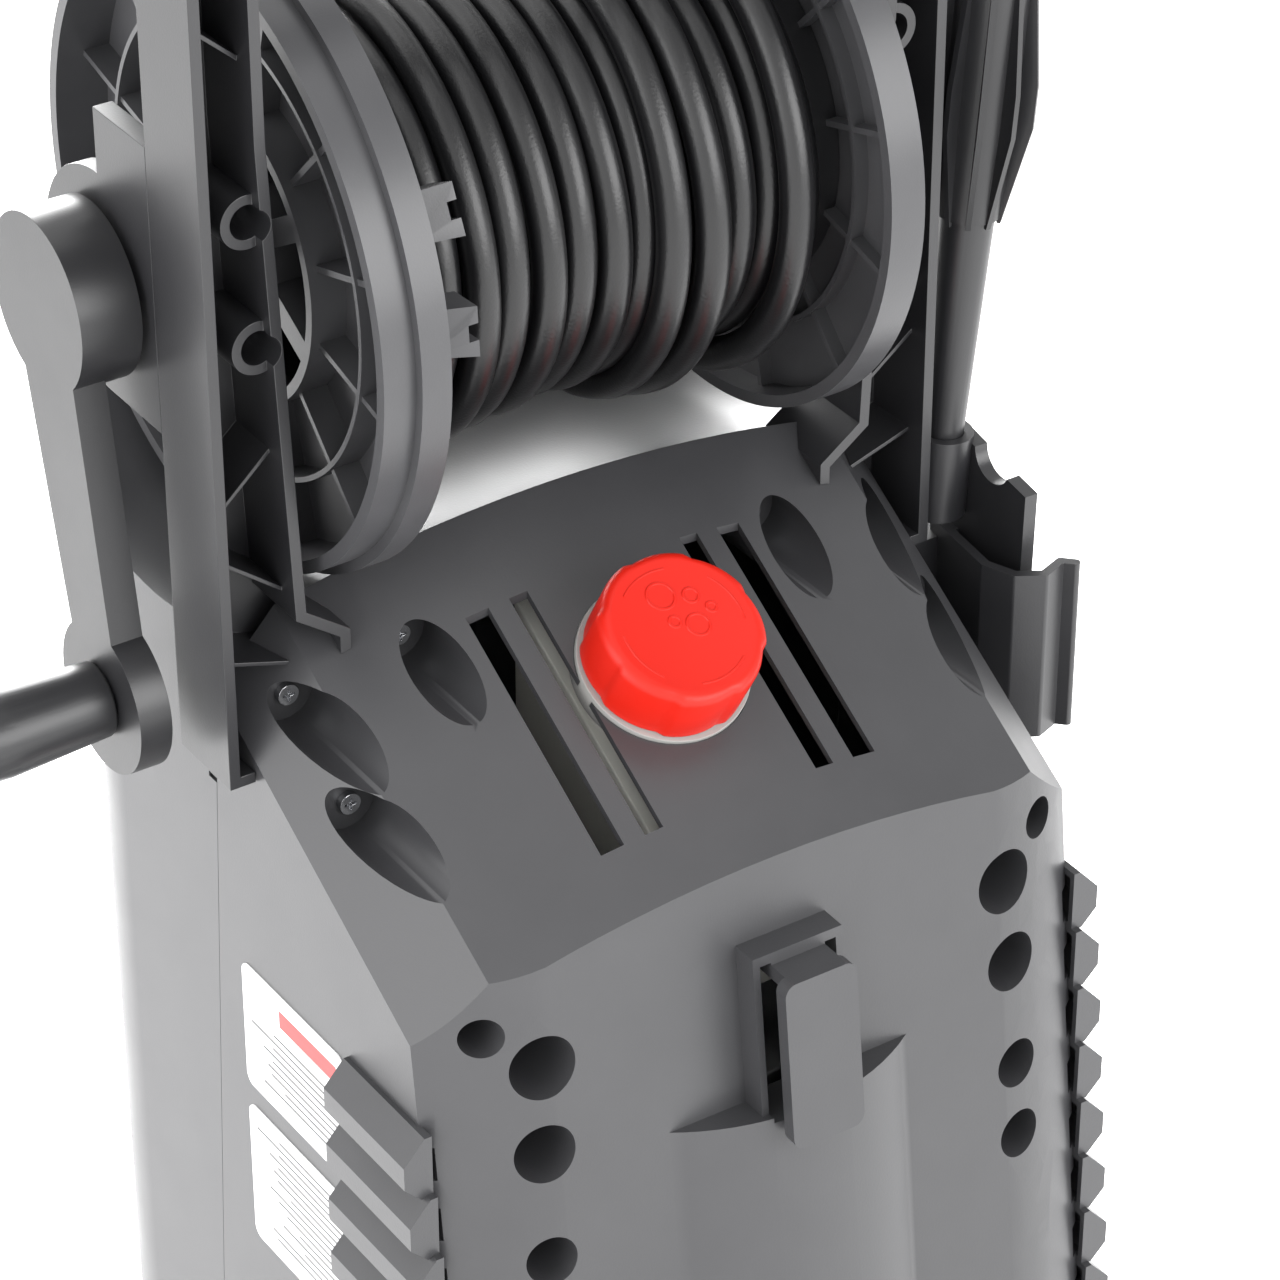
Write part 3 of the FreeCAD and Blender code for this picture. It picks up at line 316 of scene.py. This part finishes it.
for vertex in left_flange.data.vertices:
    if vertex.co.x < lug_end + LUG_DEEP:
        # The lugs stand further towards the hose and nearer the rim than in the frame.
        vertex.co.x -= LUG_LONGER if vertex.co.x < lug_end + LUG_TIP * LUG_DEEP else 0
        vertex.co.y = REEL.y + (vertex.co.y - REEL.y) * LUG_OUTWARDS
        vertex.co.z = REEL.z + (vertex.co.z - REEL.z) * LUG_OUTWARDS
finished("reel_right_flange", REEL_PLASTIC, 0.0008)
finished("reel_drum", DRUM_PLASTIC, 0.0008)
finished("reel_axle", STEEL, 0.0005)
finished("reel_swivel", BRASS, 0.0005)
finished("reel_feed_hose", HOSE_RUBBER, 0)

# ---- Crank ------------------------------------------------------------------------------------
# Black nylon crank with a soft sheen on the axle's left end; its grip turns on a pin with bright,
# bluish zinc plating.
BLACK_NYLON = surface("moulded_black_nylon", "1E1E20", "161618", 0.36, ior=1.53)
ZINC = surface("zinc_plated_steel", "D2D3D6", "A6A7AA", 0.22, metallic=1.0, grain=0.0008, bump=0.05)
finished("crank_arm", BLACK_NYLON, 0.0015, segments=3)
finished("crank_grip", BLACK_NYLON, 0.0012, segments=3)
finished("crank_grip_pin", ZINC, 0.0004)

# ---- Body shells ------------------------------------------------------------------------------
# Rear and front cover are injection-moulded ABS shells, 3 mm thick, joined by screws in deep bores.
# A fine spark-eroded grain dulls the gloss, and broad lights still show as soft sheets on it. The
# pan is plain polypropylene, darker and almost matt.
BODY_ABS = surface("moulded_grey_abs", "39393B", "303032", 0.36, ior=1.52, grain=0.0009, bump=0.12)
PAN_PLASTIC = surface("moulded_black_polypropylene", "262628", "1C1C1E", 0.50, ior=1.49)
finished("rear_cover", BODY_ABS, 0.0009, segments=3)
finished("front_cover", BODY_ABS, 0.0012, segments=3)
finished("base_pan", PAN_PLASTIC, 0.0015, segments=3)
finished("lower_cord_hook", BODY_ABS, 0.0012, segments=3)

# ---- Uprights, reel brackets and handle -------------------------------------------------------
# Channel mouldings in glass-filled nylon, open to the rear, with screw bosses and thin ribs; they
# are dark, with a sheen that the glass makes slightly uneven.
FRAME_NYLON = surface("moulded_frame_nylon", "262628", "1E1E20", 0.34, ior=1.53)
for part in ("left_upright", "right_upright", "left_reel_bracket", "right_reel_bracket",
             "handle_front_shell", "handle_rear_shell", "right_holster"):
    finished(part, FRAME_NYLON, 0.0006)

# ---- Spray lance ------------------------------------------------------------------------------
# Black nylon lance with a finned grip sleeve; it stands nozzle down in the holder's socket.
finished("spray_lance", BLACK_NYLON, 0.0005)
finished("lance_sleeve", BLACK_NYLON, 0.0004)

# ---- Soap filler ------------------------------------------------------------------------------
# Red polypropylene screw cap with ratchet-shaped grips round its rim and raised bubbles on top.
# It turns down on a pale, waxy polyethylene collar; a white blown tank hangs below the panel.
RED_CAP = surface("moulded_red_polypropylene", "BE1C0E", "B4180B", 0.40, ior=1.49, mottle=0.02,
                  bump=0.04, rough_spread=0.06, gloss=0.26)
PALE_PLASTIC = surface("moulded_pale_polyethylene", "93928F", "878684", 0.45, ior=1.51)
TANK_PLASTIC = surface("blown_white_polyethylene", "DAD9D2", "CFCEC6", 0.42, ior=1.51)
# The cap's own axes: x to the right in the view, z along the filler; all sizes are in mm.
CAP_RIGHT = Vector((-0.832, 0.555, 0))
CAP_STEPS = 176
CAP_TEETH = 8
TOOTH_SLOPE = 0.86       # part of a tooth that dips slowly
TOOTH_CURVE = 1.6
SCALLOP_DEEP = 1.2
CAP_TOP = 12.8
# The wall from the inside of the top to its outside: radius, height, and share of the scallops.
CAP_WALL = ((0, 6.5, 0), (25, 6.5, 0), (25, -13.4, 0), (31.8, -13.4, 1), (32.7, -12.6, 1),
            (32.7, 8.8, 1), (32.2, 10.8, 1), (30.9, 12.3, 0.8), (29.2, 12.95, 0.3), (27.5, 13.0, 0),
            (26.8, CAP_TOP, 0), (0, CAP_TOP, 0))
BUBBLES = ((-9, 11, 5.5), (5.5, 1.5, 4.5), (2.5, 13.5, 3), (-3.5, 1, 2.3), (10.5, 10, 2.0))
ARC_STARTS = (0.3, 1.9, 3.5, 5.0)
ARC_RADIUS = 24.5
ARC_SWEEP = 0.9
ARC_THICK = 0.3
BUBBLE_THICK = 0.42
BEAD_SIDES = 6
BEAD_FLATTER = 1.5       # a bead is this much wider than tall
BEAD_STEPS = 48          # for a full circle


def scallop(angle):
    """Depth of the ratchet-shaped grips: a slow dip and a quick return."""
    share = (angle * CAP_TEETH / (2 * math.pi)) % 1
    if share < TOOTH_SLOPE:
        return SCALLOP_DEEP * (share / TOOTH_SLOPE) ** TOOTH_CURVE
    return SCALLOP_DEEP * (1 - share) / (1 - TOOTH_SLOPE)


def raised_ring(shape, across, up, radius, start=0.0, sweep=2 * math.pi, thick=BUBBLE_THICK):
    """A low round bead along a circle or an arc on the cap's top."""
    around = max(8, int(BEAD_STEPS * sweep / (2 * math.pi)))
    closed = sweep > 6.28
    rings = []
    for n in range(around if closed else around + 1):
        angle = start + sweep * n / around
        ring = []
        for m in range(BEAD_SIDES):
            turn = 2 * math.pi * m / BEAD_SIDES
            reach = radius + thick * BEAD_FLATTER * math.cos(turn)
            ring.append(shape.verts.new((across + reach * math.cos(angle),
                                         up + reach * math.sin(angle),
                                         CAP_TOP + thick * math.sin(turn))))
        rings.append(ring)
    for first, second in zip(rings, rings[1:] + (rings[:1] if closed else [])):
        for m in range(BEAD_SIDES):
            n = (m + 1) % BEAD_SIDES
            shape.faces.new((first[m], first[n], second[n], second[m]))
    if not closed:
        shape.faces.new(rings[0])
        shape.faces.new(rings[-1][::-1])


def cap_wall_ring(shape, radius, height, share):
    if radius == 0:
        return [shape.verts.new((0, 0, height))]
    ring = []
    for n in range(CAP_STEPS):
        angle = 2 * math.pi * n / CAP_STEPS
        reach = radius - share * scallop(angle)
        ring.append(shape.verts.new((reach * math.cos(angle), reach * math.sin(angle), height)))
    return ring


def cap_piece():
    """The filler cap with its grips, and with bubbles and arcs raised on its top."""
    joint = next(j for j in frame["record"]["behaviour"]["joints"] if j["name"] == "soap_cap_lift")
    normal = Vector(joint["axis"]).normalized()
    low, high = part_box("soap_cap")
    across = (CAP_RIGHT - normal * CAP_RIGHT.dot(normal)).normalized()
    turned = Matrix((across, normal.cross(across), normal)).transposed().to_4x4()
    shape = bmesh.new()
    rings = [cap_wall_ring(shape, *row) for row in CAP_WALL]
    for first, second in zip(rings, rings[1:]):
        for n in range(CAP_STEPS):
            m = (n + 1) % CAP_STEPS
            corners = [first[n % len(first)], first[m % len(first)],
                       second[m % len(second)], second[n % len(second)]]
            shape.faces.new(list(dict.fromkeys(corners)))
    for bubble in BUBBLES:
        raised_ring(shape, *bubble)
    for start in ARC_STARTS:
        raised_ring(shape, 0, 0, ARC_RADIUS, start, ARC_SWEEP, ARC_THICK)
    bmesh.ops.recalc_face_normals(shape, faces=shape.faces)
    mesh = bpy.data.meshes.new("soap_cap_finished")
    shape.to_mesh(mesh)
    shape.free()
    middle = (Vector(low) + Vector(high)) / 2
    mesh.transform(Matrix.Translation(middle) @ turned @ Matrix.Scale(MM, 4))
    mesh.materials.append(RED_CAP)
    mesh.shade_smooth()
    mesh.set_sharp_from_angle(angle=math.radians(34))
    piece = bpy.data.objects.new("soap_cap_finished", mesh)
    bpy.context.scene.collection.objects.link(piece)
    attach(piece, body_of("soap_cap"))
    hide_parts("soap_cap")


cap_piece()
finished("filler_collar", PALE_PLASTIC, 0.0004)
finished("detergent_tank", TANK_PLASTIC, 0.0015, segments=3)

# ---- Labels -----------------------------------------------------------------------------------
# Two smooth white film labels on the left side, with rounded corners; plain bars of grey and red
# ink stand for the print.
LABEL_FILM = surface("printed_label_film", "EDEDED", "E6E6E6", 0.30, ior=1.46, bump=0.02)
finished("rating_label", LABEL_FILM, 0)
finished("notice_label", LABEL_FILM, 0)
GREY_INK = surface("printed_grey_ink", "3A3A3C", "303032", 0.35, bump=0.02)
RED_INK = surface("printed_red_ink", "C01818", "B41212", 0.35, bump=0.02)
INK_THICK = 0.00008
LINE_STEP = 0.0034
LINE_TALL = 0.0011
LABEL_MARGIN = 0.006
LAST_MARGIN = 0.005
SHORTEST_LINE = 0.45
LINE_SEED = 5
HEADING_WIDE = 0.042
HEADING_TALL = 0.008
HEADING_DOWN = 0.011


def new_tree(name, inputs):
    """An empty node tree with these inputs, a Material input and a Geometry output."""
    tree = bpy.data.node_groups.new(name, "GeometryNodeTree")
    for label, kind, value in inputs:
        tree.interface.new_socket(label, in_out="INPUT", socket_type=kind).default_value = value
    tree.interface.new_socket("Material", in_out="INPUT", socket_type="NodeSocketMaterial")
    tree.interface.new_socket("Geometry", in_out="OUTPUT", socket_type="NodeSocketGeometry")
    return tree, node(tree, "NodeGroupInput")


def close_tree(tree, given, instances):
    """Makes the instances real, gives them the material and passes them on."""
    real = node(tree, "GeometryNodeRealizeInstances", [("Geometry", instances)])
    coated = node(tree, "GeometryNodeSetMaterial", [("Geometry", real.outputs["Geometry"]),
                                                    ("Material", given.outputs["Material"])])
    node(tree, "NodeGroupOutput", [("Geometry", coated.outputs["Geometry"])])


def grown(name, tree, values, body):
    """A plain mesh from a node tree: its inputs are set by identifier, then the result is kept."""
    piece = bpy.data.objects.new(name, bpy.data.meshes.new(name))
    bpy.context.scene.collection.objects.link(piece)
    grow = piece.modifiers.new("grow", "NODES")
    grow.node_group = tree
    sockets = {i.name: i.identifier for i in tree.interface.items_tree if i.item_type == "SOCKET"}
    for key, value in values.items():
        grow[sockets[key]] = value
    baked_mesh(piece)
    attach(piece, body)


def print_tree():
    """Rows of bars of random length that start at one edge, as printed lines do."""
    tree, given = new_tree("print_lines", (
        ("Rows", "NodeSocketInt", 8), ("Row Step", "NodeSocketVector", (0, 0, -0.004)),
        ("Bar Size", "NodeSocketVector", (0.0001, 0.05, 0.0012)),
        ("Start", "NodeSocketVector", (0, 0, 0)), ("Shortest", "NodeSocketFloat", 0.5),
        ("Seed", "NodeSocketInt", 3)))
    rows = node(tree, "GeometryNodeMeshLine", [("Count", given.outputs["Rows"]),
                                               ("Offset", given.outputs["Row Step"]),
                                               ("Start Location", given.outputs["Start"])])
    bar = node(tree, "GeometryNodeMeshCube", [("Size", given.outputs["Bar Size"])])
    half = node(tree, "ShaderNodeVectorMath", operation="MULTIPLY")
    tree.links.new(given.outputs["Bar Size"], half.inputs[0])
    half.inputs[1].default_value = (0.5, -0.5, 0)
    edge = node(tree, "GeometryNodeTransform", [("Geometry", bar.outputs["Mesh"]),
                                                ("Translation", half.outputs["Vector"])])
    chance = node(tree, "FunctionNodeRandomValue", data_type="FLOAT")
    tree.links.new(given.outputs["Shortest"], chance.inputs[2])
    tree.links.new(given.outputs["Seed"], chance.inputs["Seed"])
    stretch = node(tree, "ShaderNodeCombineXYZ", [("Y", chance.outputs[1])], in_X=1.0, in_Z=1.0)
    placed = node(tree, "GeometryNodeInstanceOnPoints", [("Points", rows.outputs["Mesh"]),
                                                         ("Instance", edge.outputs["Geometry"]),
                                                         ("Scale", stretch.outputs["Vector"])])
    close_tree(tree, given, placed.outputs["Instances"])
    return tree


PRINT_LINES = print_tree()
for label, rows_from in (("rating_label", 0.022), ("notice_label", 0.006)):
    low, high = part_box(label)
    room = high[2] - low[2] - rows_from - LAST_MARGIN
    line_wide = high[1] - low[1] - 2 * LABEL_MARGIN
    grown(label + "_lines", PRINT_LINES,
          {"Rows": int(room / LINE_STEP), "Row Step": (0, 0, -LINE_STEP),
           "Bar Size": (INK_THICK, line_wide, LINE_TALL),
           "Start": (high[0], high[1] - LABEL_MARGIN, high[2] - rows_from),
           "Shortest": SHORTEST_LINE, "Seed": LINE_SEED, "Material": GREY_INK},
          "machine")
low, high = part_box("rating_label")
grown("rating_label_heading", PRINT_LINES,
      {"Rows": 1, "Bar Size": (INK_THICK, HEADING_WIDE, HEADING_TALL),
       "Start": (high[0], high[1] - LABEL_MARGIN, high[2] - HEADING_DOWN),
       "Shortest": 1.0, "Seed": 1, "Material": RED_INK}, "machine")

# ---- Motor and pump ---------------------------------------------------------------------------
# Inner parts: a motor of dull stamped steel sheets in its casing, and an axial pump in grainy cast
# aluminium with a brass head.
LAMINATED = surface("stamped_lamination_steel", "6A6B6E", "505154", 0.45, metallic=1.0)
CAST_ALUMINIUM = surface("die_cast_aluminium", "B0B1B3", "97989A", 0.42, metallic=1.0, bump=0.2)
for part in ("motor_casing", "motor_rotor"):
    finished(part, LAMINATED, 0.0005)
for part in ("motor_end_cap", "pump_case"):
    finished(part, CAST_ALUMINIUM, 0.001)
for part in ("motor_shaft", "wobble_plate"):
    finished(part, STEEL, 0.0004)
finished("pump_pistons", ZINC, 0.0004)
finished("pump_head", BRASS, 0.001)
for part in ("cooling_fan", "capacitor", "switch_box"):
    finished(part, BLACK_NYLON, 0.0005)

# ---- Water fittings, switch and cord entry ----------------------------------------------------
# Brass threaded fittings, a red rotary switch knob and a matt rubber cord gland on the front.
finished("water_inlet", BRASS, 0.0003)
finished("water_outlet", BRASS, 0.0003)
finished("switch_knob", RED_CAP, 0.0006)
SOFT_RUBBER = surface("moulded_soft_rubber", "1C1C1D", "161617", 0.60)
finished("cord_gland", SOFT_RUBBER, 0.0006)

# ---- Wheels and feet --------------------------------------------------------------------------
# Hard, rather matt plastic tyres with two staggered rows of tread blocks, on spoked hubs and a
# zinc-plated axle with press-on caps; two rubber feet.
TYRE_PLASTIC = surface("moulded_tyre_plastic", "1C1C1D", "151516", 0.55)
TREAD_BLOCKS = 32
TREAD_DEEP = 0.0024
TREAD_SUNK = 0.0004      # how far a block reaches into the tyre
TREAD_LONG = 0.0095      # a block along the tyre's run
TREAD_EDGE = 0.005       # tyre width without blocks
TREAD_SPLIT = 0.001      # between the two rows


def tread_tree():
    """Blocks in a ring round an axis along x."""
    tree, given = new_tree("tread_ring", (
        ("Count", "NodeSocketInt", 30), ("Radius", "NodeSocketFloat", 0.08),
        ("Block Size", "NodeSocketVector", (0.01, 0.008, 0.002)),
        ("Centre", "NodeSocketVector", (0, 0, 0)), ("First Angle", "NodeSocketFloat", 0.0)))
    spots = node(tree, "GeometryNodeMeshLine", [("Count", given.outputs["Count"])])
    spots.inputs["Offset"].default_value = (0, 0, 0)
    block = node(tree, "GeometryNodeMeshCube", [("Size", given.outputs["Block Size"])])
    lift = node(tree, "ShaderNodeCombineXYZ", [("Z", given.outputs["Radius"])])
    raised = node(tree, "GeometryNodeTransform", [("Geometry", block.outputs["Mesh"]),
                                                  ("Translation", lift.outputs["Vector"])])
    number = node(tree, "GeometryNodeInputIndex")
    step = node(tree, "ShaderNodeMath", operation="DIVIDE")
    step.inputs[0].default_value = 2 * math.pi
    tree.links.new(given.outputs["Count"], step.inputs[1])
    angle = node(tree, "ShaderNodeMath", operation="MULTIPLY_ADD")
    tree.links.new(number.outputs["Index"], angle.inputs[0])
    tree.links.new(step.outputs["Value"], angle.inputs[1])
    tree.links.new(given.outputs["First Angle"], angle.inputs[2])
    turn = node(tree, "ShaderNodeCombineXYZ", [("X", angle.outputs["Value"])])
    placed = node(tree, "GeometryNodeInstanceOnPoints", [("Points", spots.outputs["Mesh"]),
                                                         ("Instance", raised.outputs["Geometry"]),
                                                         ("Rotation", turn.outputs["Vector"])])
    moved = node(tree, "GeometryNodeTransform", [("Geometry", placed.outputs["Instances"]),
                                                 ("Translation", given.outputs["Centre"])])
    close_tree(tree, given, moved.outputs["Geometry"])
    return tree


TREAD = tread_tree()
for side in ("left", "right"):
    low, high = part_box(side + "_tyre")
    middle = (Vector(low) + Vector(high)) / 2
    outer = (high[2] - low[2]) / 2
    carcass = finished(side + "_tyre", TYRE_PLASTIC, 0.0006)
    for vertex in carcass.data.vertices:
        spoke = Vector((0, vertex.co.y - middle.y, vertex.co.z - middle.z))
        if spoke.length > outer - TREAD_DEEP:
            vertex.co -= spoke.normalized() * (spoke.length - outer + TREAD_DEEP)
    row_wide = (high[0] - low[0] - TREAD_EDGE) / 2
    for row, side_of_middle, first in (("_inner", -1, 0.0), ("_outer", 1, math.pi / TREAD_BLOCKS)):
        grown(side + "_tread" + row, TREAD,
              {"Count": TREAD_BLOCKS, "Radius": outer - TREAD_DEEP / 2 - TREAD_SUNK,
               "Block Size": (row_wide - TREAD_SPLIT, TREAD_LONG, TREAD_DEEP + TREAD_SUNK),
               "Centre": middle + Vector((side_of_middle * row_wide / 2, 0, 0)),
               "First Angle": first, "Material": TYRE_PLASTIC},
              body_of(side + "_tyre"))
    finished(side + "_wheel_hub", FRAME_NYLON, 0.0008)
    finished(side + "_hub_cap", BLACK_NYLON, 0.0012, segments=3)
finished("wheel_axle", ZINC, 0.0004)
finished("front_feet", SOFT_RUBBER, 0.0015, segments=3)

# ---- Screws -----------------------------------------------------------------------------------
# Zinc-plated pan-head screws at the bottoms of the bores.
finished("cover_screws", ZINC, 0.0003)
finished("upright_screws", ZINC, 0.0003)

# ---- Floor and light --------------------------------------------------------------------------
# A pale, faintly glowing floor, a wide light behind the operator, one overhead, a weak one on the
# left and one low in front. The white surroundings are brightest on the operator's left; the view
# itself shows them as plain white.
FLOOR_HALF = 6
FLOOR_GLOW = 1.5
SURROUND = (0.85, 2.9)                # strength of the surroundings, from dark side to bright side
BRIGHT_SIDE = (0.93, 0.05, -0.35)
BRIGHT_FROM, BRIGHT_TO = -0.4, 0.9


def add_floor():
    data = bpy.data.meshes.new("floor")
    data.from_pydata([(-FLOOR_HALF, -FLOOR_HALF, 0), (FLOOR_HALF, -FLOOR_HALF, 0),
                      (FLOOR_HALF, FLOOR_HALF, 0), (-FLOOR_HALF, FLOOR_HALF, 0)], [], [(0, 1, 2, 3)])
    pale = surface("pale_floor", "B4B4B4", "B0B0B0", 0.7, bump=0.0)
    shader = pale.node_tree.nodes["Principled BSDF"]
    shader.inputs["Emission Color"].default_value = (1, 1, 1, 1)
    shader.inputs["Emission Strength"].default_value = FLOOR_GLOW
    data.materials.append(pale)
    floor = bpy.data.objects.new("floor", data)
    bpy.context.scene.collection.objects.link(floor)


def soft_light(name, place, target, size, power):
    data = bpy.data.lights.new(name, "AREA")
    data.shape = "RECTANGLE"
    data.size, data.size_y = size
    data.energy = power
    lamp = bpy.data.objects.new(name, data)
    lamp.location = place
    lamp.rotation_euler = (Vector(target) - Vector(place)).to_track_quat("-Z", "Y").to_euler()
    bpy.context.scene.collection.objects.link(lamp)


def add_surroundings():
    world = bpy.data.worlds.new("studio")
    world.use_nodes = True
    tree = world.node_tree
    sky = tree.nodes["Background"]
    sky.inputs["Color"].default_value = (1, 1, 1, 1)
    seen = node(tree, "ShaderNodeLightPath")
    looking = node(tree, "ShaderNodeTexCoord")
    leftward = node(tree, "ShaderNodeVectorMath", operation="DOT_PRODUCT")
    tree.links.new(looking.outputs["Generated"], leftward.inputs[0])
    leftward.inputs[1].default_value = BRIGHT_SIDE
    around = node(tree, "ShaderNodeMapRange", [("Value", leftward.outputs["Value"])],
                  in_From_Min=BRIGHT_FROM, in_From_Max=BRIGHT_TO)
    around.inputs["To Min"].default_value, around.inputs["To Max"].default_value = SURROUND
    glow = node(tree, "ShaderNodeMix", [("Factor", seen.outputs["Is Camera Ray"]),
                                        ("A", around.outputs["Result"])], data_type="FLOAT")
    glow.inputs["B"].default_value = 1.0
    tree.links.new(glow.outputs["Result"], sky.inputs["Strength"])
    bpy.context.scene.world = world


add_floor()
body_middle = at(0, 0, 520)
soft_light("wide_rear", at(-900, 2200, 1300), body_middle, (2.2, 1.6), 70)
soft_light("overhead", at(0, -300, 2600), body_middle, (2.4, 2.0), 18)
soft_light("left_fill", at(2200, 200, 1200), body_middle, (1.4, 2.0), 20)
soft_light("low_front", at(-250, -1300, 900), at(0, -120, 560), (1.2, 0.8), 60)
add_surroundings()
bpy.context.scene.view_settings.view_transform = "Standard"
